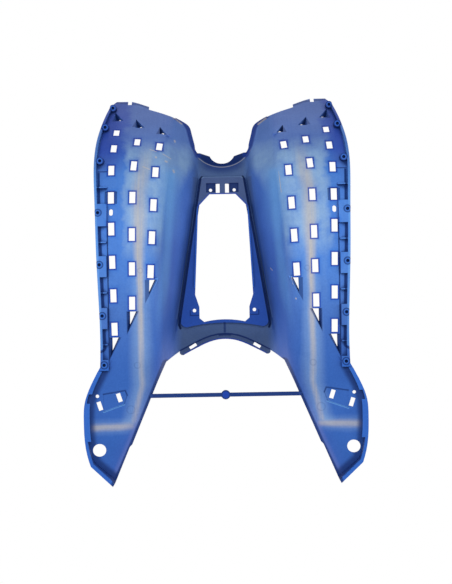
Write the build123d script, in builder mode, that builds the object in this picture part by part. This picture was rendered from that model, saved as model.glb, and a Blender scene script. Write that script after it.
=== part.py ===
from build123d import *
import os
from math import asin, atan, cos, degrees, pi, radians, sin, sqrt, tan

# A scooter floorboard, moulded in one piece, in the position in which it is fitted:
# +X to the right, +Y forward, +Z up, millimetres. Its rim stands on z = 0.
# The right half is modelled and mirrored about the YZ plane.

# Skin
skin = 3.0
floor_height = 16.0        # underside of the footboard above the ground line of the rim
tunnel_height = 158.0      # underside of the tunnel's ridge above the ground line
edge_room = 20.0           # how far the hollow's solid runs past the skin's own solid
section_far = 262.0        # where the sections end, outside the plan
section_in = -20.0         # where the sections end, past the mirror plane
section_low = -60.0
section_first = -350.0
section_step = 25.0
section_count = 29
block_low = -5.0
block_high = 420.0
overlap = 1.0              # how far bodies that join or cut run into each other

# Side profile: a level footboard that climbs into the leg shield
bend_start = 47.0
bend_radius = 238.0
shield_angle = 57.0

# Tunnel: roof line, walls and the shoulder where they meet the footboard
ridge_front = 170.0        # the roof climbs to the steering head in front of this
ridge_front_radius = 80.0
ridge_front_angle = 45.0
ridge_rear = -55.0         # and climbs to the seat behind this
ridge_rear_radius = 60.0
ridge_rear_angle = 35.0
wall_front = 178.7         # where the tunnel is narrowest
wall_front_half = 40.1
wall_taper = 0.1618        # widening of each wall towards the rear
horn_flare = 22.0          # widening of each wall up to the steering head
horn_end = 290.0
shoulder_radius = 38.0
ridge_radius = 4.0
arch_radius = 36.0         # extra rounding of the roof at the rear arch, growing over arch_rounding
arch_rounding = (-50.0, -105.0)
head_radius = 20.0         # extra rounding of the roof at the steering head, growing over head_rounding
head_rounding = (170.0, 240.0)
foot_half = 106.0          # foot of each wall, which turns out behind foot_rear and in before foot_front
foot_rear = -100.0
foot_rear_radius = 300.0
foot_rear_angle = 12.0
foot_front = 60.0
foot_front_radius = 900.0
foot_front_angle = 4.5

# Tails: the floor leans up towards the middle and lifts behind a crease
tail_start = -140.0
tail_lean = 18.0
tail_leaning = (-100.0, -210.0)
tail_crease = -227.0
tail_lift = 6.0
tail_lean_axis = 226.0
tail_tip = (183.0, -325.0)

# Plan outline
shield_corner = (191.0, 319.0)
shield_side = ((206.0, 262.0), (210.0, 198.0), (207.0, 141.0), (203.0, 20.0), (199.5, -102.0))
tail_side = ((217.6, -166.0), (226.4, -192.0), (228.0, -218.0), (226.4, -256.0), (218.0, -292.0))
tail_neck = (200.5, -133.0)
tail_inner = (154.0, -262.0)
tail_jog = 4.0
arch_foot = (99.0, -131.0)
arch_mid = (77.0, -116.5)
arch_top = -97.0
arch_end_way = (0.85, -0.53)
clip_inner = (127.0, 307.0)
clip_rise = 6.0
clip_step = (146.0, 321.0)
clip_notch = (158.0, 165.0)
clip_notch_depth = 7.0
clip_top = 325.0
clip_outer = 185.0
horn_corner = (80.0, 289.6)
horn_side = ((61.5, 277.5), (56.0, 259.0), (51.5, 240.0), (43.5, 221.0))
head_bottom = 199.5

# Steering head collar
collar_lift = 9.0          # the shelf stands this far above the skin
collar_riser = 2.5
collar_shoulder = 226.0
collar_shoulder_half = 38.0
collar_lip = (21.0, 219.5)
collar_bottom = 206.0
collar_radius = 21.6
flange_width = 4.5
flange_inner = 30.0
flange_step = 1.6

# Rim
rim_wall = 4.0
rim_band = 187.0           # inner edge of the rim's pads
rim_rise = 1.5             # the rim's pads stop this far above the boss faces
pads = ((129.6, 93.0), (44.8, 11.2), (-38.4, -72.0), (-121.6, -139.0))
cross_ribs = (157.0, 67.0, -14.0, -97.0)
cross_rib = 2.0
boss_radius = 6.0
boss_hole_radius = 2.6
boss_hole_depth = 11.0
bosses = ((201.0, 115.0), (199.0, 31.0), (195.7, -51.0), (194.0, -130.0), (200.5, 203.0), (197.8, 268.0),
          (189.0, 309.0))
groove_depth = 1.2
groove_width = 1.6

# Tail wall and its turned-in lip
lip_width = 9.5
lip_thickness = 2.5
lip_end = -252.0
lip_gap = (-176.0, -191.0)

# Tread windows: columns of x at the rearmost window, drift per mm forward, rear station, flat rows,
# flat pitch, climbing rows, climbing pitch
window_width = 9.8
window_length = 20.8
columns = (
    (177.5, 0.018, -73.0, 8, 54.0, 0, 0.0),
    (148.5, -0.012, -31.5, 3, 55.5, 3, 63.5),
    (118.0, -0.052, 19.0, 3, 55.0, 2, 63.0),
)
shield_lean = 0.07         # extra lean of the columns towards the middle, in front of shield_lean_from
shield_lean_from = 190.0
slot_station = 117.0       # oval slot between two windows of the outer column
slot_size = (6.2, 10.5)
recess_row = 4             # row of the outer column whose window stands in a recess
recess_size = (19.5, 20.8)
pocket_width = 17.0
pocket_wall = 4.8          # plan width of a pocket's outer wall
rear_pocket = (36.0, 9.0, 9.0)         # length, width at its inner end, depth; the rear ones are open there
front_pocket = (34.0, 11.0, 12.0)
drain_radius = 3.5         # half-round drain in the lower end of each front pocket
pocket_bar = 3.0           # bar between the last window and its pocket
front_pocket_stations = (352.0, 323.0, 299.0)

# Lid plate in the tunnel's roof
plate_height = 148.0
plate_front = 181.0
plate_rear_side = -78.0
plate_rear_radius = 300.0
plate_corner = 9.0
plate_groove = 5.0         # gap between the plate's web and the tunnel wall
plate_web = 2.5
opening_front = (22.2, 151.4)
opening_shoulder = (41.8, 131.0)
opening_side = (49.5, -20.0)
opening_tab = (42.7, -41.0)
opening_tab_end = -60.0
opening_rear = (35.0, -66.5)
opening_rear_middle = -62.5
lip_height = 5.0
plate_cut = 10.0           # reach of a cut through the plate, each way
lip_rear = -8.0
screw_pocket = (11.8, 27.4, 154.8, 170.0)
screw_pocket_depth = 4.0
screw_hole_radius = 2.8
lid_slot = (4.6, 11.2, 153.6, 169.0)
tab_hole = (51.2, -46.7)
tab_hole_radius = 3.0
screw_place = (20.2, 158.5)

# Holes of the tails and the arch
tail_hole = (206.0, -269.0)
tail_hole_radius = 10.5
clip_slot = (7.0, 14.5)
clip_slots = ((173.0, -184.5), (204.0, -197.0))
clip_slot_turn = -17.0
tail_screw = (207.5, -181.0)
tail_screw_radius = 2.8
tail_recess = ((198.0, -178.0), (163.0, -173.0), (160.0, -181.0), (165.0, -196.0), (198.0, -207.0))
arch_slot = (55.5, -109.0)
arch_slot_size = (13.5, 5.2)
arch_slot_turn = -31.0

# Flange along the rear arch: its line on the skin, its free edge and the tip of its round end
arch_flange_line = ((0.0, -87.5), (47.4, -100.5), (77.0, -115.5))
arch_flange_edge = ((0.0, arch_top), (48.0, -111.5), (70.0, -123.0))
arch_flange_way = (0.88, -0.48)
arch_flange_tip = (77.2, -122.7)
arch_flange_step = 2.0

# Tie bar between the tails
bar_y = -184.0
bar_width = 6.4
bar_height = 5.0
bar_disc_radius = 7.5
bar_disc_height = 6.0


def climb(run, radius, angle):
    """Rise and slope after a level line has turned up round an arc and gone on straight."""
    if run <= 0:
        return 0.0, 0.0
    arc_run = radius * sin(radians(angle))
    if run < arc_run:
        turn = asin(run / radius)
        return radius * (1 - cos(turn)), degrees(turn)
    arc_rise = radius * (1 - cos(radians(angle)))
    return arc_rise + (run - arc_run) * tan(radians(angle)), angle


def run_of(length, radius, angle):
    """Run that is covered after a developed length of the same line."""
    arc = radius * radians(angle)
    if length <= 0:
        return length
    if length < arc:
        return radius * sin(length / radius)
    return radius * sin(radians(angle)) + (length - arc) * cos(radians(angle))


def ease(value, start, end):
    """A smooth step from 0 at start to 1 at end."""
    share = min(1.0, max(0.0, (value - start) / (end - start)))
    return share * share * (3 - 2 * share)


def corners(y, cover):
    """Ridge, shoulder and outer corners of the section at y, moved out by cover, with their radii."""
    floor_rise, floor_slope = climb(y - bend_start, bend_radius, shield_angle)
    front_rise, front_slope = climb(y - ridge_front, ridge_front_radius, ridge_front_angle)
    rear_rise, rear_slope = climb(ridge_rear - y, ridge_rear_radius, ridge_rear_angle)
    lean = tan(radians(tail_lean * ease(y, *tail_leaning)))
    roof = tunnel_height + front_rise + rear_rise
    foot_x = foot_half + climb(foot_rear - y, foot_rear_radius, foot_rear_angle)[0]
    foot_x -= climb(y - foot_front, foot_front_radius, foot_front_angle)[0]
    foot_z = floor_height + floor_rise + max(0.0, tail_crease - y) * tan(radians(tail_lift))
    foot_z += (tail_lean_axis - foot_x) * lean
    wall_x = wall_front_half + max(0.0, wall_front - y) * wall_taper
    wall_x += horn_flare * ease(y, wall_front, horn_end)
    draft = (foot_x - wall_x) / (tunnel_height + front_rise - foot_z)
    wall_x -= rear_rise * draft
    floor_cover = cover * sqrt(1 + lean ** 2) / cos(radians(floor_slope))
    roof_cover = cover / cos(radians(max(front_slope, rear_slope)))
    wall_cover = cover * sqrt(1 + draft ** 2)
    ridge = (wall_x + wall_cover - draft * roof_cover, roof + roof_cover)
    shoulder_lift = (floor_cover - lean * wall_cover) / (1 - lean * draft)
    shoulder = (foot_x + wall_cover - draft * shoulder_lift, foot_z + shoulder_lift)
    ridge_round = ridge_radius + arch_radius * ease(y, *arch_rounding)
    ridge_round += head_radius * ease(y, *head_rounding)
    return ridge, shoulder, lean, ridge_round + cover, shoulder_radius - cover


def plug(cover, room):
    """Everything under the skin's surface, moved out by cover, with room past the skin's own borders."""
    first = section_first - room
    step = section_step + 2 * room / (section_count - 1)
    far = section_far + room
    near = section_in - room
    low = section_low - room
    with BuildPart() as body:
        for number in range(section_count):
            y = first + step * number
            ridge, shoulder, lean, ridge_round, shoulder_round = corners(y, cover)
            outer = (far, shoulder[1] - lean * (far - shoulder[0]))
            with BuildSketch(Plane.XZ.offset(-y)):
                with BuildLine():
                    FilletPolyline(
                        (near, ridge[1]), ridge, shoulder, outer, radius=[ridge_round, shoulder_round]
                    )
                    Polyline(outer, (far, low), (near, low), (near, ridge[1]))
                make_face()
        loft()
    return body.part


def floor_z(x, y):
    """Height of the footboard's underside at a place outside the shoulder."""
    ridge, shoulder, lean, ridge_round, shoulder_round = corners(y, 0)
    return shoulder[1] - lean * (x - shoulder[0])


def underside_z(x, y):
    """Height of the underside at any place on the footboard, its shoulder or the tunnel wall."""
    ridge, shoulder, lean, ridge_round, shoulder_round = corners(y, 0)
    lean_turn = atan(lean)
    draft = (shoulder[0] - ridge[0]) / (ridge[1] - shoulder[1])
    turn = pi / 2 - atan(draft) - lean_turn
    tangent = shoulder_round * tan(turn / 2)
    start_x = shoulder[0] + tangent * cos(lean_turn)
    if x >= start_x:
        return floor_z(x, y)
    if x <= shoulder[0] - tangent * sin(atan(draft)):
        return shoulder[1] + (shoulder[0] - x) / draft
    centre_x = start_x + shoulder_round * sin(lean_turn)
    centre_z = shoulder[1] - tangent * sin(lean_turn) + shoulder_round * cos(lean_turn)
    return centre_z - sqrt(shoulder_round ** 2 - (centre_x - x) ** 2)


def floor_plane(x, y):
    """A plane on the footboard's underside, facing the tread side, climbing with the side profile."""
    slope = climb(y - bend_start, bend_radius, shield_angle)[1]
    normal = (0, -sin(radians(slope)), cos(radians(slope)))
    return Plane(origin=(x, y, underside_z(x, y)), x_dir=(1, 0, 0), z_dir=normal)


def plate_half(y):
    """Half width of the lid plate at y, clear of the tunnel wall by its groove."""
    return wall_front_half + (wall_front - y) * wall_taper - plate_groove


def field(x_0, x_1, y_0, y_1, mode=Mode.ADD):
    """A rectangle of the open sketch between two x and two y values."""
    with Locations(((x_0 + x_1) / 2, (y_0 + y_1) / 2)):
        Rectangle(x_1 - x_0, y_1 - y_0, mode=mode)


def window_place(column, station):
    """Place in plan of a column's window at a developed station."""
    x_rear, drift, rear = column[:3]
    y = station
    if station > bend_start:
        y = bend_start + run_of(station - bend_start, bend_radius, shield_angle)
    x = x_rear + drift * (y - rear) - shield_lean * max(0.0, y - shield_lean_from)
    return x, y


def window_shape(column, station):
    """Turn of a column's window in plan, and its length in plan where the footboard climbs."""
    y = window_place(column, station)[1]
    lean = column[1] - (shield_lean if y > shield_lean_from else 0.0)
    slope = climb(y - bend_start, bend_radius, shield_angle)[1]
    return -degrees(atan(lean)), window_length * cos(radians(slope))


def column_stations(column):
    """Developed stations of a column's windows, from the rear."""
    rear, flat_rows, flat_pitch, climbing_rows, climbing_pitch = column[2:]
    flat = [rear + flat_pitch * row for row in range(flat_rows)]
    return flat + [flat[-1] + climbing_pitch * (row + 1) for row in range(climbing_rows)]


def pocket_faces(size, way):
    """Mouth and inner corners of a pocket that tapers rearward (way -1) or forward (way 1)."""
    length, inner_width, depth = size
    outer = pocket_width / 2
    inset = outer - pocket_wall
    mouth = ((-outer, 0), (outer, 0), (outer, way * length))
    inner_length = length * inner_width / pocket_width
    inner = ((inset - inner_width, 0), (inset, 0), (inset, way * inner_length))
    return mouth, inner, depth


def lifted(solid, height):
    """A copy of a solid, moved up."""
    return solid.moved(Location((0, 0, height)))


recess_place = window_place(columns[0], column_stations(columns[0])[recess_row])
slot_place = window_place(columns[0], slot_station)
standing = (Align.CENTER, Align.CENTER, Align.MIN)
underside = plug(0.0, edge_room)
topside = plug(skin, 0.0)

# Plan of the right half, with the steering head and the rear arch cut back
with BuildSketch() as plan:
    with BuildLine():
        Line((0, head_bottom), (0, arch_top))
        Spline((0, arch_top), arch_mid, arch_foot, tangents=[(1, 0), arch_end_way])
        Polyline(arch_foot, tail_inner, (tail_inner[0] + tail_jog, tail_inner[1] - tail_jog), tail_tip)
        Line(tail_tip, tail_side[-1])
        Spline(*reversed(tail_side), tail_neck)
        Spline(tail_neck, *reversed(shield_side), shield_corner)
        Polyline(
            shield_corner,
            (clip_outer, clip_top),
            (clip_notch[1], clip_top),
            (clip_notch[1], clip_top - clip_notch_depth),
            (clip_notch[0], clip_top - clip_notch_depth),
            (clip_notch[0], clip_top),
            clip_step,
            (clip_inner[0], clip_inner[1] + clip_rise),
            clip_inner,
            horn_corner,
        )
        notch_bottom = TangentArc((0, head_bottom), horn_side[-1], tangent=(1, 0))
        horn_way = (horn_corner[0] - clip_inner[0], horn_corner[1] - clip_inner[1])
        Spline(horn_corner, *horn_side, tangents=[horn_way, -(notch_bottom % 1)])
    make_face()

with BuildPart() as block:
    with BuildSketch(Plane.XY.offset(block_low)):
        add(plan.sketch)
    extrude(amount=block_high - block_low)
    add(topside, mode=Mode.INTERSECT)

with BuildSketch() as side_band:
    add(plan.sketch)
    add(plan.sketch.moved(Location((-rim_wall, 0, 0))), mode=Mode.SUBTRACT)
    field(clip_outer, section_far, tail_start, shield_corner[1] - skin, Mode.INTERSECT)

with BuildSketch() as rim_plan:
    for front, rear in pads:
        field(rim_band, section_far, rear, front)
    for middle in cross_ribs:
        field(rim_band, section_far, middle - cross_rib / 2, middle + cross_rib / 2)
    add(plan.sketch, mode=Mode.INTERSECT)
    add(side_band.sketch)

with BuildPart() as rim:
    extrude(rim_plan.sketch, amount=block_high)
    add(lifted(underside, rim_rise - floor_height), mode=Mode.SUBTRACT)

with BuildSketch() as tail_band:
    add(plan.sketch)
    add(plan.sketch.moved(Location((-rim_wall, rim_wall, 0))), mode=Mode.SUBTRACT)
    field(tail_inner[0], section_far, section_first, tail_start, Mode.INTERSECT)

with BuildSketch() as tail_lip:
    add(plan.sketch)
    add(plan.sketch.moved(Location((-lip_width, lip_width / 2, 0))), mode=Mode.SUBTRACT)
    field(tail_inner[0], section_far, lip_end, tail_start, Mode.INTERSECT)
    field(tail_inner[0], section_far, lip_gap[1], lip_gap[0], Mode.SUBTRACT)

# Lid plate: a flat sheet below the ridge, hung on a web
with BuildSketch() as plate:
    with BuildLine():
        Line((0, plate_front), (plate_half(plate_front), plate_front))
        Line((plate_half(plate_front), plate_front), (plate_half(plate_rear_side), plate_rear_side))
        RadiusArc(
            (plate_half(plate_rear_side), plate_rear_side),
            (-plate_half(plate_rear_side), plate_rear_side),
            -plate_rear_radius,
        )
        Line((-plate_half(plate_rear_side), plate_rear_side), (-plate_half(plate_front), plate_front))
        Line((-plate_half(plate_front), plate_front), (0, plate_front))
    make_face()
    fillet(plate.vertices().group_by(Axis.Y)[-1].sort_by(Axis.X)[::2], plate_corner)
    fillet(plate.vertices().group_by(Axis.Y)[0], plate_corner)

with BuildSketch() as plate_inside:
    add(plate.sketch)
    offset(amount=-plate_web, mode=Mode.REPLACE)

with BuildSketch() as plate_edge:
    add(plate.sketch)
    add(plate_inside.sketch, mode=Mode.SUBTRACT)

with BuildSketch() as opening:
    rear_rise = 2 * (opening_rear_middle - opening_rear[1]) / opening_rear[0]
    with BuildLine():
        Polyline(
            (0, opening_front[1]),
            opening_front,
            opening_shoulder,
            opening_side,
            opening_tab,
            (opening_tab[0], opening_tab_end),
            opening_rear,
        )
        Spline(opening_rear, (0, opening_rear_middle), tangents=[(-1, rear_rise), (-1, 0)])
        Line((0, opening_rear_middle), (0, opening_front[1]))
    make_face()

with BuildSketch() as opening_lip:
    lip_share = (lip_rear - opening_shoulder[1]) / (opening_side[1] - opening_shoulder[1])
    lip_end_x = opening_shoulder[0] + (opening_side[0] - opening_shoulder[0]) * lip_share
    with BuildLine():
        Polyline(
            opening_shoulder,
            (lip_end_x, lip_rear),
            (lip_end_x + plate_web, lip_rear),
            (opening_shoulder[0] + plate_web, opening_shoulder[1]),
            close=True,
        )
    make_face()

# The hollow under the skin, less everything that stands in it
with BuildPart() as hollow:
    add(underside)
    add(rim.part, mode=Mode.SUBTRACT)
    extrude(tail_band.sketch, amount=block_high, mode=Mode.SUBTRACT)
    extrude(tail_lip.sketch, amount=lip_thickness, mode=Mode.SUBTRACT)
    for x, y in bosses:
        with Locations((x, y, floor_z(x, y) - floor_height)):
            Cylinder(boss_radius, floor_height + skin, align=standing, mode=Mode.SUBTRACT)
    with BuildSketch(Plane.XY.offset(plate_height)):
        add(plate.sketch)
    extrude(amount=skin, mode=Mode.SUBTRACT)
    with BuildSketch(Plane.XY.offset(plate_height)):
        add(plate_edge.sketch)
    extrude(amount=block_high - plate_height, mode=Mode.SUBTRACT)
    with BuildSketch(Plane.XY.offset(plate_height - lip_height)):
        add(opening_lip.sketch)
    extrude(amount=lip_height + skin, mode=Mode.SUBTRACT)

with BuildPart() as half:
    add(block.part)
    add(hollow.part, mode=Mode.SUBTRACT)
    with BuildSketch(Plane.XY.offset(plate_height + skin)):
        add(plate_inside.sketch)
    extrude(amount=block_high - plate_height, mode=Mode.SUBTRACT)
    with BuildSketch(Plane.XY.offset(plate_height - plate_cut)):
        add(opening.sketch)
    extrude(amount=2 * plate_cut, mode=Mode.SUBTRACT)

# Windows of the tread, and the tapered pockets at both ends of each of their columns
with BuildSketch() as windows:
    for column in columns:
        for station in column_stations(column):
            turn, length = window_shape(column, station)
            with Locations(window_place(column, station)):
                Rectangle(window_width, length, rotation=turn)
    with Locations(slot_place):
        SlotOverall(slot_size[1], slot_size[0], rotation=90)

with BuildSketch() as drains:
    for column, station in zip(columns, front_pocket_stations):
        x, y = window_place(column, station)
        with Locations((x, y)):
            Circle(drain_radius)
        field(x - pocket_width, x + pocket_width, y - pocket_width, y, Mode.SUBTRACT)

pocket_places = []
for column, front_station in zip(columns, front_pocket_stations):
    rear_x, rear_y = window_place(column, column[2])
    pocket_places.append((floor_plane(rear_x, rear_y - window_length / 2 - pocket_bar), rear_pocket, -1))
    pocket_places.append((floor_plane(*window_place(column, front_station)), front_pocket, 1))

with BuildPart() as blisters:
    for plane, size, way in pocket_places:
        mouth, inner, depth = pocket_faces(size, way)
        with BuildSketch(plane.offset(overlap)):
            Polygon(*mouth, align=None)
            offset(amount=skin, kind=Kind.INTERSECTION, mode=Mode.REPLACE)
        with BuildSketch(plane.offset(depth)):
            Polygon(*inner, align=None)
            offset(amount=skin, kind=Kind.INTERSECTION, mode=Mode.REPLACE)
        loft(ruled=True)

with BuildPart() as pockets:
    for plane, size, way in pocket_places:
        mouth, inner, depth = pocket_faces(size, way)
        with BuildSketch(plane.offset(-overlap)):
            Polygon(*mouth, align=None)
        with BuildSketch(plane.offset(depth + overlap if way < 0 else depth - skin)):
            Polygon(*inner, align=None)
        loft(ruled=True)

# Rear arch: a strip along its edge is set up by a step, with a round end
with BuildSketch() as arch_strip:
    with BuildLine():
        Line(arch_flange_line[0], arch_flange_edge[0])
        Spline(*arch_flange_edge, tangents=[(1, 0), arch_flange_way])
        ThreePointArc(arch_flange_edge[-1], arch_flange_tip, arch_flange_line[-1])
        Spline(*arch_flange_line, tangents=[(1, 0), arch_flange_way])
    make_face()

with BuildSketch() as arch_cut:
    add(arch_strip.sketch)
    add(arch_strip.sketch.moved(Location((0, -overlap, 0))), mode=Mode.INTERSECT)

with BuildPart() as arch_flange:
    extrude(arch_strip.sketch, amount=block_high)
    add(lifted(topside, arch_flange_step), mode=Mode.INTERSECT)
    add(lifted(underside, arch_flange_step), mode=Mode.SUBTRACT)

# Steering head: a raised shelf in the bottom of the notch and a stepped flange up its sides
with BuildSketch() as shelf:
    field(0, horn_corner[0], collar_bottom - edge_room, collar_shoulder)
    add(plan.sketch, mode=Mode.SUBTRACT)
    with BuildLine():
        Line((0, collar_bottom), (0, block_high))
        Line((0, block_high), (collar_shoulder_half, block_high))
        Line((collar_shoulder_half, block_high), (collar_shoulder_half, collar_shoulder))
        Line((collar_shoulder_half, collar_shoulder), collar_lip)
        RadiusArc(collar_lip, (0, collar_bottom), collar_radius)
    make_face(mode=Mode.SUBTRACT)

with BuildSketch() as riser_plan:
    add(plan.sketch.moved(Location((0, collar_riser, 0))))
    add(plan.sketch.moved(Location((-collar_riser, 0, 0))))
    add(shelf.sketch, mode=Mode.INTERSECT)

with BuildSketch() as flange_plan:
    add(plan.sketch.moved(Location((-flange_width, 0, 0))))
    add(plan.sketch, mode=Mode.SUBTRACT)
    field(flange_inner, horn_corner[0], collar_shoulder - overlap, clip_inner[1], Mode.INTERSECT)
    add(riser_plan.sketch)

with BuildPart() as collar:
    extrude(shelf.sketch, amount=block_high)
    add(lifted(topside, collar_lift), mode=Mode.INTERSECT)
    add(lifted(topside, collar_lift - skin), mode=Mode.SUBTRACT)

with BuildPart() as flange:
    extrude(flange_plan.sketch, amount=block_high)
    add(lifted(topside, collar_lift), mode=Mode.INTERSECT)
    add(lifted(underside, flange_step), mode=Mode.SUBTRACT)

# Shallow lines and recesses of the underside
with BuildSketch() as line_plan:
    field(rim_band - groove_width, rim_band, pads[-1][0], pads[0][1])
    with Locations(recess_place):
        Rectangle(*recess_size)
    Polygon(*tail_recess, align=None)

with BuildPart() as lines:
    extrude(line_plan.sketch, amount=block_high)
    add(lifted(underside, groove_depth), mode=Mode.INTERSECT)

with BuildPart() as right_half:
    add(half.part)
    extrude(arch_cut.sketch, amount=block_high, mode=Mode.SUBTRACT)
    add(arch_flange.part)
    add(blisters.part)
    add(collar.part)
    add(flange.part)
    add(lines.part, mode=Mode.SUBTRACT)
    add(pockets.part, mode=Mode.SUBTRACT)
    extrude(windows.sketch, amount=block_high, mode=Mode.SUBTRACT)
    extrude(drains.sketch, amount=block_high, mode=Mode.SUBTRACT)
    for x, y in bosses:
        with Locations((x, y, floor_z(x, y) - floor_height)):
            Cylinder(boss_hole_radius, boss_hole_depth, align=standing, mode=Mode.SUBTRACT)
    with Locations((sum(screw_pocket[:2]) / 2, sum(screw_pocket[2:]) / 2, plate_height + skin / 2)):
        Box(
            screw_pocket[1] - screw_pocket[0] + 2 * plate_web,
            screw_pocket[3] - screw_pocket[2] + 2 * plate_web,
            screw_pocket_depth + skin / 2,
            align=standing,
        )
    with Locations((sum(screw_pocket[:2]) / 2, sum(screw_pocket[2:]) / 2, plate_height - overlap)):
        Box(
            screw_pocket[1] - screw_pocket[0],
            screw_pocket[3] - screw_pocket[2],
            screw_pocket_depth + overlap,
            align=standing,
            mode=Mode.SUBTRACT,
        )
    with BuildSketch(Plane.XY.offset(plate_height - plate_cut)):
        field(*lid_slot)
        with Locations(screw_place):
            Circle(screw_hole_radius)
        with Locations(tab_hole):
            Circle(tab_hole_radius)
    extrude(amount=2 * plate_cut, mode=Mode.SUBTRACT)
    with BuildSketch():
        with Locations(tail_hole):
            Circle(tail_hole_radius)
        with Locations(*clip_slots):
            Rectangle(*clip_slot, rotation=clip_slot_turn)
        with Locations(tail_screw):
            Circle(tail_screw_radius)
        with Locations(arch_slot):
            Rectangle(*arch_slot_size, rotation=arch_slot_turn)
    extrude(amount=block_high, mode=Mode.SUBTRACT)

# Tie bar with its gate disc
bar_share = (bar_y - arch_foot[1]) / (tail_inner[1] - arch_foot[1])
bar_reach = arch_foot[0] + (tail_inner[0] - arch_foot[0]) * bar_share + skin
bar_z = underside_z(bar_reach, bar_y) + skin / 2
with BuildPart() as floorboard:
    add(right_half.part)
    with Locations((0, bar_y, bar_z)):
        Box(bar_reach, bar_width, bar_height, align=(Align.MIN, Align.CENTER, Align.CENTER))
    mirror(about=Plane.YZ)
    with Locations((0, bar_y, bar_z)):
        Cylinder(bar_disc_radius, bar_disc_height)

floorboard.part.label = "floorboard"
os.makedirs("parts", exist_ok=True)
export_step(floorboard.part, "parts/floorboard.step")
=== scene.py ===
import bpy
import math
from mathutils import Matrix, Vector

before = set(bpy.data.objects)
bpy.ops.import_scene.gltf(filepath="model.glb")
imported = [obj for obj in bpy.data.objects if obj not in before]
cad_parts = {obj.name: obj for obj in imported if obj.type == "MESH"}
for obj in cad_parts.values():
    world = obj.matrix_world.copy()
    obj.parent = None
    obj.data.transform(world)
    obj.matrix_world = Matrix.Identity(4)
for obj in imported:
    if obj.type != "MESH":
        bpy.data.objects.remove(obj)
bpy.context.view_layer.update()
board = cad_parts["floorboard"]
scene = bpy.context.scene
scene.view_settings.view_transform = "Standard"

# Windows of the tread, in metres, with each column as x at the rear, drift, rear station, level rows,
# level pitch, climbing rows and climbing pitch
bend_start = 0.047
bend_radius = 0.238
shield_angle = math.radians(57.0)
shield_lean = 0.07
shield_lean_from = 0.190
window_half_width = 0.0049
window_half_length = 0.0104
columns = (
    (0.1775, 0.018, -0.073, 8, 0.054, 0, 0.0),
    (0.1485, -0.012, -0.0315, 3, 0.0555, 3, 0.0635),
    (0.118, -0.052, 0.019, 3, 0.055, 2, 0.063),
)
window_recess = (0.1813, 0.1404)
window_recess_half = (0.0098, 0.0096)

# Triangular scoops behind the windows and pockets in front of them
scoop_bar = 0.003
scoop_inner = 0.0105
scoop_outer = 0.0090
scoop_length = 0.0370
scoop_slope = (scoop_inner + scoop_outer) / scoop_length
shield_pockets = ((0.1820, 0.2825), (0.1455, 0.2700), (0.1035, 0.2545))
pocket_half = 0.0085
pocket_length = 0.0150
pocket_lean = 0.19
pocket_soft = 0.0025

# Lines in plan, of the right half
notch_centre = (0.0, 0.25425)
notch_radius = 0.05475
notch_side = ((0.0410, 0.2210), (0.0490, 0.2400), (0.0570, 0.2725), (0.0635, 0.2850), (0.0790, 0.2915))
horn_edge = ((0.1270, 0.3105), (0.1460, 0.3190), (0.1850, 0.3235))
shoulder = ((0.0850, 0.1820), (0.0880, 0.1200), (0.0915, 0.0610), (0.0985, -0.0130), (0.1080, -0.0770))
plate_groove = ((0.0350, 0.1815), (0.0378, 0.1775), (0.0780, -0.0710), (0.0760, -0.0770))
groove_lip = ((0.0475, 0.1300), (0.0815, -0.0600))
plate_front_edge = ((0.0, 0.1812), (0.0310, 0.1812), (0.0352, 0.1790))
opening_front = ((0.0, 0.1514), (0.0222, 0.1514), (0.0418, 0.1310))
screw_pocket = (0.0196, 0.1624)
screw_pocket_half = (0.0078, 0.0076)
tab_step = ((0.0435, -0.0550), (0.0585, -0.0550), (0.0585, -0.0470))
arch_step = ((0.0, -0.0875), (0.0120, -0.0883), (0.0240, -0.0908), (0.0360, -0.0951), (0.0474, -0.1005),
             (0.0770, -0.1155))
arch_strip = ((0.0, -0.0922), (0.0120, -0.0931), (0.0242, -0.0958), (0.0360, -0.1003), (0.0477, -0.1060),
              (0.0735, -0.1193))
arch_edge = ((0.0, -0.0970), (0.0120, -0.0979), (0.0245, -0.1008), (0.0360, -0.1055), (0.0480, -0.1115),
             (0.0700, -0.1230))
arch_streak = ((0.0, -0.0690), (0.0, -0.0840))
arch_cross = ((0.0, -0.0895), (0.0095, -0.0900))
bar_y = -0.184
bar_half_width = 0.009
bar_ends = (0.1215, 0.1195)
disc_radius = 0.006
tail_inner = ((0.0990, -0.1310), (0.1540, -0.2620), (0.1830, -0.3250))
tail_outer = ((0.2005, -0.1330), (0.2176, -0.1660), (0.2264, -0.1920), (0.2280, -0.2180), (0.2264, -0.2560),
              (0.2180, -0.2920), (0.1830, -0.3250))
# Edges of the tail recess: a line of painted shade and one of painted highlight
tail_recess_shade = ((0.1980, -0.1780), (0.1630, -0.1730), (0.1600, -0.1810))
tail_recess_highlight = ((0.1650, -0.1960), (0.1980, -0.2070))
moulding_rings = ((0.1550, -0.2050, 0.0065), (0.1345, 0.0210, 0.0040), (0.1420, -0.1320, 0.0048))
rim_outer = ((0.2060, 0.2620), (0.2100, 0.1980), (0.2070, 0.1410), (0.2030, 0.0200), (0.1995, -0.1020))
rim_inner = 0.187
rim_pockets = ((0.1310, 0.1830), (0.0460, 0.0920), (-0.0370, 0.0100), (-0.1200, -0.0730))
rim_pads = (-0.120, 0.093)
rim_front_line = ((0.1880, 0.1850), (0.2040, 0.1850))
bosses = ((0.2010, 0.1150), (0.1990, 0.0310), (0.1957, -0.0510), (0.1940, -0.1300), (0.2005, 0.2030),
          (0.1978, 0.2680), (0.1890, 0.3090))

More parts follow.
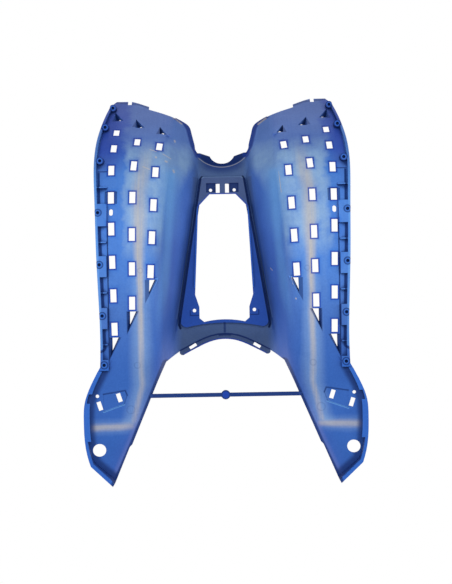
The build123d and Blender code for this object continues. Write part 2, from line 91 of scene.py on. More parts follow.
# Scratches and chips in plan, of both halves: start, end and half width
scratches = (
    ((0.1195, 0.2240), (0.1090, 0.2200), 0.0006),
    ((0.0980, 0.2160), (0.0850, 0.2080), 0.0006),
    ((0.1300, 0.1930), (0.1190, 0.1880), 0.0007),
    ((0.1095, 0.2100), (0.1088, 0.2090), 0.0014),
    ((0.0935, 0.2030), (0.0915, 0.2020), 0.0014),
    ((0.0800, 0.2440), (0.0795, 0.2415), 0.0012),
    ((0.0810, 0.1880), (0.0800, 0.1850), 0.0014),
    ((0.0830, 0.2895), (0.0700, 0.2815), 0.0015),
    ((-0.0650, 0.2790), (-0.0780, 0.2870), 0.0015),
    ((-0.0935, 0.1810), (-0.0965, 0.1460), 0.0005),
    ((-0.1095, 0.0065), (-0.1115, -0.0050), 0.0005),
    ((-0.1160, -0.0280), (-0.1165, -0.0290), 0.0009),
    ((-0.0785, 0.0230), (-0.0815, 0.0190), 0.0006),
)

# Widths over which a painted edge falls off
crisp = 0.0006
firm = 0.001

# Colours, linear
bare_grey = (0.53, 0.50, 0.465)
thin_spray = (0.28, 0.45, 0.71)
spray_blue = (0.038, 0.185, 0.660)
# Painted shade: the underside's blue darkens towards the rear
rear_shade_blue = (0.044, 0.138, 0.480)
wall_blue = (0.065, 0.168, 0.575)
shield_blue = (0.070, 0.128, 0.480)
bend_blue = (0.048, 0.128, 0.530)
corner_blue = (0.033, 0.076, 0.440)
# Deep blue of the notch's flanges, darkened as painted shade
notch_blue_and_shade = (0.014, 0.044, 0.260)
lilac = (0.200, 0.225, 0.520)
roof_grey = (0.070, 0.115, 0.235)
front_grey = (0.064, 0.098, 0.215)
plate_blue = (0.019, 0.071, 0.345)
# Painted highlights: sheen and glint on the tunnel's shoulder, the rim wall and the lower edge of the tail
# recess
highlight_blue = (0.180, 0.450, 0.880)
bright_blue = (0.036, 0.140, 0.540)
rim_blue = (0.018, 0.062, 0.400)
# Navy for painted shade in pockets, scoops, recesses and under steps and lips, and the dark colour of the tie
# bar and moulding rings
navy_and_shade_blue = (0.014, 0.036, 0.160)
edge_navy = (0.006, 0.022, 0.120)
# Near black painted shade in the groove beside the lid plate
groove_shade_black = (0.003, 0.008, 0.035)
top_blue = (0.012, 0.085, 0.420)
top_blue_deep = (0.008, 0.060, 0.330)
scratch_beige = (0.62, 0.56, 0.50)
dull_tint = (0.80, 0.83, 0.88)
plain_tint = (1.0, 1.0, 1.0)
dark_speck = (0.94, 0.945, 0.96)
pale_speck = (1.03, 1.03, 1.02)
floor_grey = (0.86, 0.86, 0.86, 1.0)
world_white = (1.0, 1.0, 1.0, 1.0)


class Nodes:
    """Short names for the shader nodes of one material."""

    # Sockets of the Mix node that take and give colours
    mix_share = 0
    mix_first = 6
    mix_second = 7
    mix_result = 2

    def __init__(self, name):
        self.material = bpy.data.materials.new(name)
        self.material.use_nodes = True
        self.tree = self.material.node_tree
        self.shader = self.tree.nodes["Principled BSDF"]
        self.output = self.tree.nodes["Material Output"]

    def add(self, kind, **settings):
        node = self.tree.nodes.new(kind)
        for key, value in settings.items():
            setattr(node, key, value)
        return node

    def put(self, socket, value):
        """Links a socket to another one, or sets its value."""
        if isinstance(value, bpy.types.NodeSocket):
            self.tree.links.new(value, socket)
        elif isinstance(value, tuple) and len(value) == 3 and socket.type == "RGBA":
            socket.default_value = (*value, 1.0)
        else:
            socket.default_value = value

    def split(self, vector):
        """The x, y and z of a vector."""
        node = self.add("ShaderNodeSeparateXYZ")
        self.put(node.inputs["Vector"], vector)
        return node.outputs

    def math(self, operation, a, b=0.0, c=0.0):
        node = self.add("ShaderNodeMath", operation=operation)
        for socket, value in zip(node.inputs, (a, b, c)):
            self.put(socket, value)
        return node.outputs[0]

    def product(self, *values):
        result = values[0]
        for value in values[1:]:
            result = self.math("MULTIPLY", result, value)
        return result

    def highest(self, *values):
        result = values[0]
        for value in values[1:]:
            result = self.math("MAXIMUM", result, value)
        return result

    def apart(self, a, b):
        """How far two values lie from each other."""
        return self.math("ABSOLUTE", self.math("SUBTRACT", a, b))

    def length(self, across, along):
        """Length in plan of a run that is given by its two parts."""
        square = self.math("ADD", self.math("MULTIPLY", across, across), self.math("MULTIPLY", along, along))
        return self.math("SQRT", square)

    def rise(self, value, low, high, to_low=0.0, to_high=1.0):
        """Smooth step of a value between two limits, where low may also be the greater one."""
        node = self.add("ShaderNodeMapRange", interpolation_type="SMOOTHSTEP")
        for name, given in zip(("Value", "From Min", "From Max", "To Min", "To Max"),
                               (value, low, high, to_low, to_high)):
            self.put(node.inputs[name], given)
        return node.outputs["Result"]

    def band(self, value, low, high, soft):
        """1 between low and high, falling off over soft on both sides."""
        return self.product(self.rise(value, low - soft, low), self.rise(value, high + soft, high))

    def box(self, x, y, place, half, soft):
        """1 inside a rectangle in plan, falling off over soft outside it."""
        return self.product(
            self.band(x, place[0] - half[0], place[0] + half[0], soft),
            self.band(y, place[1] - half[1], place[1] + half[1], soft),
        )

    def mix(self, share, a, b, blend="MIX"):
        node = self.add("ShaderNodeMix", data_type="RGBA", blend_type=blend)
        for index, given in ((self.mix_share, share), (self.mix_first, a), (self.mix_second, b)):
            self.put(node.inputs[index], given)
        return node.outputs[self.mix_result]

    def over(self, colour, coat, *shares, cover=1.0):
        """The colour under a coat, whose share is the product of the shares and the cover."""
        if cover < 1.0:
            shares = (*shares, cover)
        return self.mix(self.product(*shares), colour, coat)

    def noise(self, vector, scale, detail=3.0, roughness=0.55, distortion=0.0):
        node = self.add("ShaderNodeTexNoise")
        self.put(node.inputs["Vector"], vector)
        for name, given in (("Scale", scale), ("Detail", detail), ("Roughness", roughness),
                            ("Distortion", distortion)):
            node.inputs[name].default_value = given
        return node.outputs["Fac"]

    def scaled(self, vector, size):
        node = self.add("ShaderNodeMapping")
        self.put(node.inputs["Vector"], vector)
        node.inputs["Scale"].default_value = size
        return node.outputs["Vector"]

    def from_place(self, x, y, place):
        """Distance in plan from a place."""
        off_x = self.math("SUBTRACT", x, place[0])
        off_y = self.math("SUBTRACT", y, place[1])
        return self.length(off_x, off_y)

    def from_line(self, x, y, start, end):
        """Distance in plan from a straight line between two places."""
        run = (end[0] - start[0], end[1] - start[1])
        length = math.hypot(*run)
        way = (run[0] / length, run[1] / length)
        from_x = self.math("SUBTRACT", x, start[0])
        from_y = self.math("SUBTRACT", y, start[1])
        along = self.math("ADD", self.math("MULTIPLY", from_x, way[0]), self.math("MULTIPLY", from_y, way[1]))
        held = self.math("MINIMUM", self.math("MAXIMUM", along, 0.0), length)
        off_x = self.math("SUBTRACT", from_x, self.math("MULTIPLY", held, way[0]))
        off_y = self.math("SUBTRACT", from_y, self.math("MULTIPLY", held, way[1]))
        return self.length(off_x, off_y)

    def from_path(self, x, y, points):
        """Distance in plan from a line through several places."""
        nearest = self.from_line(x, y, points[0], points[1])
        for start, end in zip(points[1:], points[2:]):
            nearest = self.math("MINIMUM", nearest, self.from_line(x, y, start, end))
        return nearest


def window_places():
    """Place and half length in plan of every window of the right half."""
    for x_rear, drift, rear, level_rows, level_pitch, climbing_rows, climbing_pitch in columns:
        stations = [rear + level_pitch * row for row in range(level_rows)]
        stations += [stations[-1] + climbing_pitch * (row + 1) for row in range(climbing_rows)]
        for station in stations:
            turn = min(max(0.0, station - bend_start) / bend_radius, shield_angle)
            straight = max(0.0, station - bend_start - bend_radius * shield_angle)
            y = min(station, bend_start) + bend_radius * math.sin(turn) + straight * math.cos(turn)
            x = x_rear + drift * (y - rear) - shield_lean * max(0.0, y - shield_lean_from)
            yield x, y, window_half_length * math.cos(turn)


# Painted plastic: places on the part, the way that a surface faces, and the spray's unevenness.
# Here and below, a fade is a pair of limits between which a mask changes
half_blend = 0.02
under_fade = (0.06, 0.0)
floor_fade = (0.97, 0.8)
wall_fade = (0.3, 1.0)
noise_middle = 0.5
noise_fade = (0.3, 0.7)
streak_fine = 260.0
streak_long = 6.0
paint = Nodes("painted_plastic")
place = paint.add("ShaderNodeTexCoord").outputs["Object"]
x, y, z = paint.split(place)
side = paint.math("ABSOLUTE", x)
left_half = paint.rise(x, half_blend, -half_blend)
normal_x, _, normal_z = paint.split(paint.add("ShaderNodeNewGeometry").outputs["Normal"])
normal_side = paint.math("ABSOLUTE", normal_x)
under = paint.rise(normal_z, *under_fade)
on_floor = paint.rise(normal_side, *floor_fade)
on_wall = paint.rise(normal_side, *wall_fade)
clouds = paint.noise(place, scale=14.0, detail=4.0, roughness=0.6)
patches = paint.noise(place, scale=42.0, detail=4.0, roughness=0.6, distortion=0.4)
grain = paint.noise(place, scale=900.0, detail=2.0)
speckle = paint.noise(place, scale=330.0, detail=2.0)
streaks_along = paint.noise(paint.scaled(place, (streak_fine, streak_long, streak_long)), scale=1.0)
streaks_across = paint.noise(paint.scaled(place, (streak_long, streak_fine, streak_long)), scale=1.0)
cloud_drift = paint.math("SUBTRACT", clouds, noise_middle)
patch_drift = paint.math("SUBTRACT", patches, noise_middle)


def stroke(points, outer, inner):
    """1 along a line in plan on both halves, falling off from the inner distance to the outer one."""
    return paint.rise(paint.from_path(side, y, points), outer, inner)


# Distance from the nearest window of the tread, with a ragged halo of spray and a dark edge round each,
# saturated blue with the painted shade of a lip
halo_ragged = 0.010
halo_fade = (0.014, 0.004)
window_edge_fade = (0.0034, 0.0012)
gap = 1.0
for window_x, window_y, half_length in window_places():
    across = paint.math("SUBTRACT", paint.apart(side, window_x), window_half_width)
    along = paint.math("SUBTRACT", paint.apart(y, window_y), half_length)
    gap = paint.math("MINIMUM", gap, paint.highest(across, along))
ragged = paint.math("MULTIPLY_ADD", patches, halo_ragged, gap)
halo = paint.product(paint.rise(ragged, *halo_fade), on_floor)
window_edge_and_shade = paint.product(paint.rise(gap, *window_edge_fade), on_floor)

# Bare grey lane along each footboard, further out on the left half
lane_middle = 0.1355
lane_left_shift = 0.006
lane_front_from = 0.15
lane_front_lean = -0.16
lane_rear_from = -0.165
lane_rear_lean = 0.25
lane_waver = 0.008
lane_narrowing = (0.13, -0.01)
lane_wide = 0.0185
lane_narrow = 0.0080
lane_edge_fade = (1.0, 0.05)
lane_skirt_fade = (0.026, 0.003)
lane_rear_end = (-0.238, -0.222)
lane_front_end = (0.245, 0.17)
lane_front_wear = (0.16, 0.0)
lane_rear_wear = (-0.14, -0.06)
streak_fade = (0.25, 0.7)
past_front = paint.highest(paint.math("SUBTRACT", y, lane_front_from), 0.0)
past_rear = paint.highest(paint.math("SUBTRACT", lane_rear_from, y), 0.0)
front_lean = paint.math("MULTIPLY", past_front, lane_front_lean)
rear_lean = paint.math("MULTIPLY", past_rear, lane_rear_lean)
lane_x = paint.math("ADD", paint.math("ADD", front_lean, rear_lean), lane_middle)
lane_x = paint.math("MULTIPLY_ADD", left_half, lane_left_shift, lane_x)
waver = paint.math("MULTIPLY", cloud_drift, lane_waver)
off_lane = paint.math("ABSOLUTE", paint.math("ADD", paint.math("SUBTRACT", side, lane_x), waver))
lane_half = paint.rise(y, *lane_narrowing, to_low=lane_wide, to_high=lane_narrow)
lane_span = paint.product(paint.rise(y, *lane_rear_end), paint.rise(y, *lane_front_end))
lane_cover = paint.product(
    paint.rise(y, *lane_front_wear, to_low=0.72, to_high=0.95),
    paint.rise(y, *lane_rear_wear, to_low=0.62, to_high=1.0),
)
lane = paint.product(
    paint.rise(paint.math("DIVIDE", off_lane, lane_half), *lane_edge_fade),
    lane_span,
    lane_cover,
    paint.rise(streaks_along, *streak_fade, to_low=0.55, to_high=1.0),
)
lane_skirt = paint.product(paint.rise(off_lane, *lane_skirt_fade), lane_span)

# Turn of the lane, outward across the tail
turn_back = 0.2315
turn_ends = (0.154, 0.214)
turn_edge_fade = (0.0090, 0.0005)
turn_skirt_fade = (0.017, 0.006)
off_turn = paint.math("ABSOLUTE", paint.math("ADD", paint.math("ADD", y, turn_back), waver))
turn_span = paint.band(side, *turn_ends, soft=0.008)
turn = paint.product(
    paint.rise(off_turn, *turn_edge_fade),
    turn_span,
    paint.rise(streaks_across, *streak_fade, to_low=0.45, to_high=0.75),
)
turn_skirt = paint.product(turn_span, paint.rise(off_turn, *turn_skirt_fade))
bare = paint.highest(lane, turn)

# Thin spray between the columns, from the bend to the shoulder of the tunnel
spray_left_shift = 0.014
cloud_blot = 0.045
patch_blot = 0.022
shoulder_run = (0.18, -0.08)
shoulder_front_x = 0.080
shoulder_rear_x = 0.104
bend_run = (0.13, 0.21)
bend_inward = -0.026
spray_inner_edge = (-0.014, 0.006)
spray_outer_edge = (0.170, 0.152)
front_part_rear_end = (0.0, 0.10)
front_part_front_end = (0.270, 0.205)
rear_part_end = (-0.12, 0.03)
base_rear_end = (-0.16, 0.05)
base_front_end = (0.23, 0.18)
rear_share = 0.26
base_share = 0.20
lane_skirt_share = 0.5
turn_skirt_share = 0.22
halo_share = 0.55
thin_streak_fade = (0.2, 0.6)
shoulder_x = paint.math(
    "ADD",
    paint.rise(y, *shoulder_run, to_low=shoulder_front_x, to_high=shoulder_rear_x),
    paint.rise(y, *bend_run, to_low=0.0, to_high=bend_inward),
)
from_shoulder = paint.math("SUBTRACT", side, shoulder_x)
blotted = paint.math("MULTIPLY_ADD", left_half, -spray_left_shift, side)
blotted = paint.math("MULTIPLY_ADD", cloud_drift, cloud_blot, blotted)
blotted = paint.math("MULTIPLY_ADD", patch_drift, patch_blot, blotted)
thin_width = paint.product(
    paint.rise(from_shoulder, *spray_inner_edge),
    paint.rise(blotted, *spray_outer_edge),
)
thin_front = paint.product(
    paint.rise(y, *front_part_rear_end),
    paint.rise(y, *front_part_front_end),
    thin_width,
    paint.rise(patches, *noise_fade, to_low=0.72, to_high=1.0),
)
thin_rear = paint.product(thin_width, paint.rise(y, *rear_part_end), rear_share)
thin_base = paint.product(paint.rise(y, *base_rear_end), paint.rise(y, *base_front_end), base_share)
thin = paint.highest(thin_front, paint.math("MULTIPLY", lane_skirt, lane_skirt_share), thin_rear, thin_base)
thin = paint.math("MULTIPLY_ADD", turn_skirt, turn_skirt_share, thin)
thin = paint.product(thin, paint.math("MULTIPLY_ADD", halo, -halo_share, 1.0), on_floor)
thin = paint.product(thin, paint.rise(streaks_along, *thin_streak_fade, to_low=0.85, to_high=1.0))

# Blue of the underside by zone, darker towards the rear as painted shade, with the thin spray and the bare
# lane
rear_fade = (0.06, -0.08)
bend_fade = (0.18, 0.23)
shield_fade = (0.245, 0.30)
corner_side_fade = (0.160, 0.186)
corner_ends = (0.205, 0.270)
colour = paint.mix(paint.rise(y, *rear_fade), spray_blue, rear_shade_blue)
colour = paint.over(colour, bend_blue, paint.rise(y, *bend_fade))
colour = paint.over(colour, shield_blue, paint.rise(y, *shield_fade))
corner = paint.product(paint.rise(blotted, *corner_side_fade), paint.band(y, *corner_ends, soft=0.035))
colour = paint.over(colour, corner_blue, corner, cover=0.65)
colour = paint.over(colour, wall_blue, on_wall)
colour = paint.over(colour, thin_spray, thin)
colour = paint.over(colour, bare_grey, bare)

# Sheen and glint along the shoulder of the tunnel, and the paler inner sides of the tails
shoulder_front_end = (0.22, 0.17)
sheen_fade = (0.026, 0.004)
sheen_rear_end = (0.05, 0.13)
glint_fade = (0.0105, 0.001)
glint_rear_end = (-0.09, 0.02)
tail_pale_fade = (0.03, 0.0)
tail_lilac_fade = (0.013, 0.006)
tail_lilac_end = (-0.17, -0.24)
shoulder_gap = paint.from_path(side, y, shoulder)
at_shoulder = paint.rise(y, *shoulder_front_end)
sheen = paint.product(paint.rise(shoulder_gap, *sheen_fade), at_shoulder, paint.rise(y, *sheen_rear_end))
colour = paint.over(colour, highlight_blue, sheen, cover=0.38)
glint = paint.product(paint.rise(shoulder_gap, *glint_fade), at_shoulder, paint.rise(y, *glint_rear_end))
colour = paint.over(colour, highlight_blue, glint, cover=0.5)
tail_gap = paint.from_path(side, y, tail_inner)
colour = paint.over(colour, shield_blue, paint.rise(tail_gap, *tail_pale_fade), cover=0.35)
tail_sheen = paint.product(paint.rise(tail_gap, *tail_lilac_fade), paint.rise(y, *tail_lilac_end))
colour = paint.over(colour, lilac, tail_sheen, cover=0.3)

# Window edges, and painted shade in the recess round one window, in the front pockets and scoops, and along
# the edges of the horns
pocket_base_fade = (-0.0008, 0.0004)
colour = paint.over(colour, rim_blue, window_edge_and_shade, cover=0.9)
recess_shade = paint.box(side, y, window_recess, window_recess_half, crisp)
colour = paint.over(colour, navy_and_shade_blue, recess_shade, cover=0.6)
for pocket_x, pocket_y in shield_pockets:
    climb = paint.math("SUBTRACT", y, pocket_y)
    middle_x = paint.math("MULTIPLY_ADD", climb, pocket_lean, pocket_x)
    spread = paint.math("MULTIPLY_ADD", climb, pocket_half / pocket_length, paint.apart(side, middle_x))
    pocket_shade = paint.product(
        paint.rise(spread, pocket_half, pocket_half - pocket_soft),
        paint.rise(climb, *pocket_base_fade),
    )
    colour = paint.over(colour, navy_and_shade_blue, pocket_shade, cover=0.6)
for column_x, _, rear, *_ in columns:
    scoop_top = rear - window_half_length - scoop_bar
    scoop_side = column_x + scoop_outer
    slant = column_x - scoop_inner + scoop_slope * scoop_top
    scoop_shade = paint.product(
        paint.rise(paint.math("MULTIPLY_ADD", y, scoop_slope, side), slant - crisp, slant + crisp),
        paint.rise(side, scoop_side + crisp, scoop_side),
        paint.rise(y, scoop_top + crisp, scoop_top),
    )
    colour = paint.over(colour, navy_and_shade_blue, scoop_shade, cover=0.65)
colour = paint.over(colour, navy_and_shade_blue, stroke(horn_edge, outer=0.0030, inner=0.0008), cover=0.5)

# Roof of the tunnel
roof_run = (0.19, -0.08)
roof_front_half = 0.034
roof_rear_half = 0.070
roof_height_fade = (0.085, 0.143)
roof_side_fade = (0.026, 0.0)
roof_front_end = (0.25, 0.225)
roof_half = paint.rise(y, *roof_run, to_low=roof_front_half, to_high=roof_rear_half)
roof = paint.product(
    paint.rise(z, *roof_height_fade),
    paint.rise(paint.math("SUBTRACT", side, roof_half), *roof_side_fade),
    paint.rise(y, *roof_front_end),
)
colour = paint.over(colour, roof_grey, roof, cover=0.95)

# Lid plate, with its opening, painted shade in the screw pockets, in the groove and along the step of the
# tabs, and painted highlights on the groove's lip and the plate's front edge
plate_heights = (0.1425, 0.1515)
plate_rear_end = (-0.084, -0.079)
plate_blue_end = (0.150, 0.125)
plate_grey_start = (0.125, 0.150)
plate_grey_end = (0.182, 0.180)
lip_heights = (0.1425, 0.1440)
lip_front_end = (0.14, 0.12)
plate_height_fade = (0.12, 0.13)
wall_height_fade = (0.10, 0.11)
plate = paint.product(paint.band(z, *plate_heights, firm), paint.rise(y, *plate_rear_end), roof)
colour = paint.over(colour, plate_blue, plate, paint.rise(y, *plate_blue_end), cover=0.95)
plate_front = paint.product(plate, paint.rise(y, *plate_grey_start), paint.rise(y, *plate_grey_end))
colour = paint.over(colour, front_grey, plate_front, cover=0.9)
opening_lip = paint.product(paint.band(z, *lip_heights, crisp), paint.rise(y, *lip_front_end), roof)
colour = paint.over(colour, bright_blue, opening_lip, cover=0.5)
colour = paint.over(colour, rim_blue, stroke(opening_front, outer=0.0026, inner=0.0008), cover=0.75)
screw_shade = paint.box(side, y, screw_pocket, screw_pocket_half, crisp)
colour = paint.over(colour, edge_navy, screw_shade, cover=0.8)
at_plate = paint.rise(z, *plate_height_fade)
above_wall = paint.rise(z, *wall_height_fade)
groove_shade = stroke(plate_groove, outer=0.0027, inner=0.0010)
colour = paint.over(colour, groove_shade_black, groove_shade, at_plate, cover=0.95)
lip_highlight = stroke(groove_lip, outer=0.0014, inner=0.0004)
colour = paint.over(colour, thin_spray, lip_highlight, above_wall, cover=0.22)
edge_highlight = stroke(plate_front_edge, outer=0.0016, inner=0.0005)
colour = paint.over(colour, thin_spray, edge_highlight, at_plate, cover=0.22)
colour = paint.over(colour, edge_navy, stroke(tab_step, outer=0.0014, inner=0.0006), cover=0.75)

# Steering head: dark shelf, its navy partly painted shade, with a pale rim, painted shade behind it, and deep
# blue flanges up the notch, darkened as painted shade
head_front_end = (0.236, 0.228)
head_rear_end = (0.17, 0.18)
shelf_fade = (notch_radius, notch_radius - 0.002)
shelf_rim_radii = (notch_radius + 0.0005, notch_radius + 0.0011)
shelf_shade_fade = (notch_radius + 0.018, notch_radius + 0.003)
shelf_side_fade = (0.046, 0.024)
from_centre = paint.from_place(x, y, notch_centre)
at_head = paint.product(paint.rise(y, *head_front_end), paint.rise(y, *head_rear_end))
shelf_navy_and_shade = paint.product(paint.rise(from_centre, *shelf_fade), at_head)
shelf_rim = paint.product(paint.band(from_centre, *shelf_rim_radii, crisp), at_head)
shelf_shade = paint.product(
    paint.rise(from_centre, *shelf_shade_fade),
    at_head,
    paint.rise(side, *shelf_side_fade),
)
colour = paint.over(colour, navy_and_shade_blue, shelf_shade, cover=0.75)
colour = paint.over(colour, edge_navy, shelf_navy_and_shade, cover=0.85)
colour = paint.over(colour, bare_grey, shelf_rim, cover=0.45)
colour = paint.over(colour, notch_blue_and_shade, stroke(notch_side, outer=0.0070, inner=0.0036), cover=0.9)

# Rear arch: strip, painted shade along the step, edge and the mark in the middle
mark_outer_share = 1.6
mark_inner_share = 0.4
colour = paint.over(colour, front_grey, stroke(arch_strip, outer=0.0052, inner=0.0046), cover=0.6)
colour = paint.over(colour, edge_navy, stroke(arch_step, outer=0.0020, inner=0.0006), cover=0.9)
colour = paint.over(colour, rim_blue, stroke(arch_edge, outer=0.0028, inner=0.0012), cover=0.95)
for points, half_width in ((arch_streak, 0.0019), (arch_cross, 0.0016)):
    mark = stroke(points, half_width * mark_outer_share, half_width * mark_inner_share)
    colour = paint.over(colour, edge_navy, mark, cover=0.7)

# Tie bar with its disc
disc_fade = (disc_radius, disc_radius - 0.0012)
bar_span = paint.band(y, bar_y - bar_half_width, bar_y + bar_half_width, firm)
bar = paint.product(paint.rise(side, *bar_ends), bar_span)
colour = paint.over(colour, navy_and_shade_blue, bar, cover=0.9)
disc = paint.rise(paint.from_place(x, y, (0.0, bar_y)), *disc_fade)
colour = paint.over(colour, rim_blue, disc, cover=0.9)

# Tails: painted shade inside the lips, bright lips, the recess with a line of painted shade and one of
# painted highlight, moulding rings and dark inner edges
tail_start = (-0.130, -0.137)
lip_height_fade = (0.007, 0.004)
inside_fade = (0.019, 0.0105)
ring_fade = (0.0016, 0.0003)
tail_edge_fade = (0.0062, 0.0030)
at_tail = paint.rise(y, *tail_start)
lip = paint.rise(z, *lip_height_fade)
not_lip = paint.math("SUBTRACT", 1.0, lip)
inside = paint.product(paint.rise(paint.from_path(side, y, tail_outer), *inside_fade), not_lip, at_tail)
colour = paint.over(colour, navy_and_shade_blue, inside, cover=0.8)
colour = paint.over(colour, bright_blue, lip, at_tail, cover=0.9)
colour = paint.over(colour, navy_and_shade_blue, stroke(tail_recess_shade, outer=0.0020, inner=0.0006), cover=0.65)
colour = paint.over(colour, highlight_blue, stroke(tail_recess_highlight, outer=0.0018, inner=0.0006), cover=0.5)
for ring_x, ring_y, radius in moulding_rings:
    off_ring = paint.apart(paint.from_place(side, y, (ring_x, ring_y)), radius)
    colour = paint.over(colour, navy_and_shade_blue, paint.rise(off_ring, *ring_fade), cover=0.18)
not_bar = paint.math("SUBTRACT", 1.0, bar)
colour = paint.over(colour, navy_and_shade_blue, paint.rise(tail_gap, *tail_edge_fade), not_bar, cover=0.85)

# Rim: painted highlight on the wall, painted shade in the groove beside it in every pocket and along the step
# of the pads, and a dark line at the front
rim_side_fade = (0.184, 0.186)
rim_rear_end = (-0.137, -0.130)
rim_wall_fade = (0.0042, 0.0030)
rim_groove_edges = (0.0052, 0.0078)
pad_line_fade = (0.0011, 0.0004)
from_rim = paint.from_path(side, y, rim_outer)
in_pocket = paint.highest(*[paint.band(y, rear, front, firm) for rear, front in rim_pockets])
at_rim = paint.product(paint.rise(side, *rim_side_fade), paint.rise(y, *rim_rear_end))
colour = paint.over(colour, highlight_blue, paint.rise(from_rim, *rim_wall_fade), at_rim, cover=0.35)
rim_groove_shade = paint.product(paint.band(from_rim, *rim_groove_edges, soft=0.0012), in_pocket, at_rim)
colour = paint.over(colour, edge_navy, rim_groove_shade, cover=0.85)
off_pad = paint.apart(side, rim_inner)
pad_step_shade = paint.product(paint.rise(off_pad, *pad_line_fade), paint.band(y, *rim_pads, firm))
colour = paint.over(colour, navy_and_shade_blue, pad_step_shade, cover=0.8)
colour = paint.over(colour, navy_and_shade_blue, stroke(rim_front_line, outer=0.0013, inner=0.0005), cover=0.8)

# Bosses: bright face, painted shade in a ring round it and in the hole
boss_face_fade = (0.0052, 0.0046)
boss_ring_radii = (0.0050, 0.0062)
boss_hole_fade = (0.0032, 0.0022)
for boss in bosses:
    from_boss = paint.from_place(side, y, boss)
    colour = paint.over(colour, bright_blue, paint.rise(from_boss, *boss_face_fade), cover=0.7)
    colour = paint.over(colour, edge_navy, paint.band(from_boss, *boss_ring_radii, soft=0.0007), cover=0.7)
    colour = paint.over(colour, edge_navy, paint.rise(from_boss, *boss_hole_fade), cover=0.9)

# Scratches and chips, broken up by the patches
scratch_outer_share = 1.6
scratch_inner_share = 0.6
scratch_break = (0.3, 0.5)
marks = paint.highest(*[
    paint.rise(
        paint.from_line(x, y, start, end), half_width * scratch_outer_share, half_width * scratch_inner_share,
    )
    for start, end, half_width in scratches
])
colour = paint.over(colour, scratch_beige, marks, paint.rise(patches, *scratch_break), cover=0.6)

# Painted shade in the creases, from ambient occlusion
crease_reach = 0.010
crease_fade = (0.82, 0.30)
occlusion = paint.add("ShaderNodeAmbientOcclusion", samples=8)
occlusion.inputs["Distance"].default_value = crease_reach
crease_shade = paint.rise(occlusion.outputs["AO"], *crease_fade)
colour = paint.over(colour, edge_navy, crease_shade, cover=0.85)

# Uneven spray, in clouds and specks
cloud_share = 0.7
speck_share = 1.0
in_cloud = paint.rise(clouds, *noise_fade)
uneven = paint.mix(in_cloud, dull_tint, plain_tint)
colour = paint.mix(cloud_share, colour, uneven, "MULTIPLY")
speckled = paint.mix(paint.rise(speckle, *noise_fade), dark_speck, pale_speck)
colour = paint.mix(speck_share, colour, speckled, "MULTIPLY")

# Painted upper side, which is glossy where the underside is dull
top_rough = 0.18
under_rougher = 0.34
patch_rougher = 0.12
top_specular = 0.5
under_duller = 0.47
patch_height = 0.6
bump_strength = 0.12
bump_height = 0.0004
top = paint.mix(in_cloud, top_blue_deep, top_blue)
colour = paint.mix(under, top, colour)
roughness = paint.math("MULTIPLY_ADD", under, under_rougher, top_rough)
roughness = paint.math("MULTIPLY_ADD", patches, patch_rougher, roughness)
specular = paint.math("MULTIPLY_ADD", under, -under_duller, top_specular)
bump = paint.add("ShaderNodeBump")
bump.inputs["Strength"].default_value = bump_strength
bump.inputs["Distance"].default_value = bump_height
paint.put(bump.inputs["Height"], paint.math("MULTIPLY_ADD", patches, patch_height, grain))
paint.put(paint.shader.inputs["Base Color"], colour)
paint.put(paint.shader.inputs["Roughness"], roughness)
paint.put(paint.shader.inputs["Specular IOR Level"], specular)
paint.put(paint.shader.inputs["Normal"], bump.outputs["Normal"])

board.data.materials.clear()
board.data.materials.append(paint.material)

# Floor that is seen from above only, and fades into the white around it
floor_reach = 3.0
floor_drop = 0.0005
floor_end = (0.6, 2.2)
pale = Nodes("floor_paper")
floor_shade = pale.add("ShaderNodeBsdfDiffuse")
floor_shade.inputs["Color"].default_value = floor_grey
clear = pale.add("ShaderNodeBsdfTransparent")
one_sided = pale.add("ShaderNodeMixShader")
floor_place = pale.add("ShaderNodeVectorMath", operation="LENGTH")
pale.put(floor_place.inputs[0], pale.add("ShaderNodeTexCoord").outputs["Object"])
far = pale.rise(floor_place.outputs["Value"], *floor_end)
below = pale.add("ShaderNodeNewGeometry").outputs["Backfacing"]
pale.put(one_sided.inputs[0], pale.highest(far, below))
pale.put(one_sided.inputs[1], floor_shade.outputs[0])
pale.put(one_sided.inputs[2], clear.outputs[0])
pale.put(pale.output.inputs["Surface"], one_sided.outputs[0])
floor_mesh = bpy.data.meshes.new("floor")
floor_corners = [
    (-floor_reach, -floor_reach, 0),
    (floor_reach, -floor_reach, 0),
    (floor_reach, floor_reach, 0),
    (-floor_reach, floor_reach, 0),
]
floor_mesh.from_pydata(floor_corners, [], [(0, 1, 2, 3)])
floor = bpy.data.objects.new("floor", floor_mesh)
floor.location.z = -floor_drop
floor.data.materials.append(pale.material)
floor.visible_shadow = False
floor.visible_diffuse = False
floor.visible_glossy = False
scene.collection.objects.link(floor)

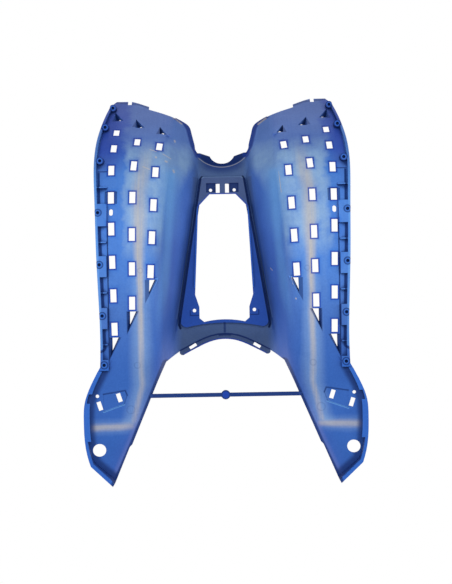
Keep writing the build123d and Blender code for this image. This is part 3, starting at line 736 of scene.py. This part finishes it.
# World: white to the eye and in reflections, a soft grey as light
light_level = 0.26
seen_level = 1.0
world = bpy.data.worlds.new("studio")
scene.world = world
world.use_nodes = True
tree = world.node_tree
background = tree.nodes["Background"]
rays = tree.nodes.new("ShaderNodeLightPath")
seen = rays.outputs["Is Camera Ray"]
for ray in ("Is Glossy Ray", "Is Transmission Ray"):
    either = tree.nodes.new("ShaderNodeMath")
    either.operation = "MAXIMUM"
    tree.links.new(seen, either.inputs[0])
    tree.links.new(rays.outputs[ray], either.inputs[1])
    seen = either.outputs[0]
level = tree.nodes.new("ShaderNodeMapRange")
tree.links.new(seen, level.inputs["Value"])
level.inputs["To Min"].default_value = light_level
level.inputs["To Max"].default_value = seen_level
tree.links.new(level.outputs["Result"], background.inputs["Strength"])
background.inputs["Color"].default_value = world_white


def lamp(name, place, target, size, watts):
    """A soft square lamp that shines from its place on the target."""
    data = bpy.data.lights.new(name, "AREA")
    data.shape = "SQUARE"
    data.size = size
    data.energy = watts
    thing = bpy.data.objects.new(name, data)
    thing.location = place
    thing.rotation_euler = (Vector(target) - Vector(place)).to_track_quat("-Z", "Y").to_euler()
    thing.visible_camera = False
    scene.collection.objects.link(thing)


# Lamps: three under the part and three above it
centre = (0.0, 0.0, 0.08)
lamp("low_key", (0.0, 0.15, -1.5), (0.0, 0.05, 0.08), 0.7, 18)
lamp("low_left", (1.0, 0.1, -1.5), centre, 0.9, 3)
lamp("low_right", (-1.0, 0.1, -1.5), centre, 0.9, 3)
lamp("high_key", (1.2, -1.4, 2.0), centre, 1.4, 45)
lamp("high_fill", (-1.6, -0.6, 1.6), centre, 1.6, 25)
lamp("high_back", (0.0, 1.8, 1.6), centre, 1.2, 20)

# Camera under the part, at the photograph's angle
camera_distance = 2.2
camera_x = -0.0032
camera_y = -0.016
camera_roll = math.radians(1.0)
seen_height = 0.9344
camera_data = bpy.data.cameras.new("camera")
camera_data.sensor_width = 36.0
camera_data.lens = camera_data.sensor_width * camera_distance / seen_height
camera_data.clip_start = 0.05
camera_data.clip_end = 100.0
camera = bpy.data.objects.new("camera", camera_data)
camera.location = (camera_x, camera_y, -camera_distance)
facing_up = Matrix.Rotation(math.pi, 4, "Y")
camera.rotation_euler = (facing_up @ Matrix.Rotation(-camera_roll, 4, "Z")).to_euler()
scene.collection.objects.link(camera)
scene.camera = camera

bpy.context.view_layer.update()
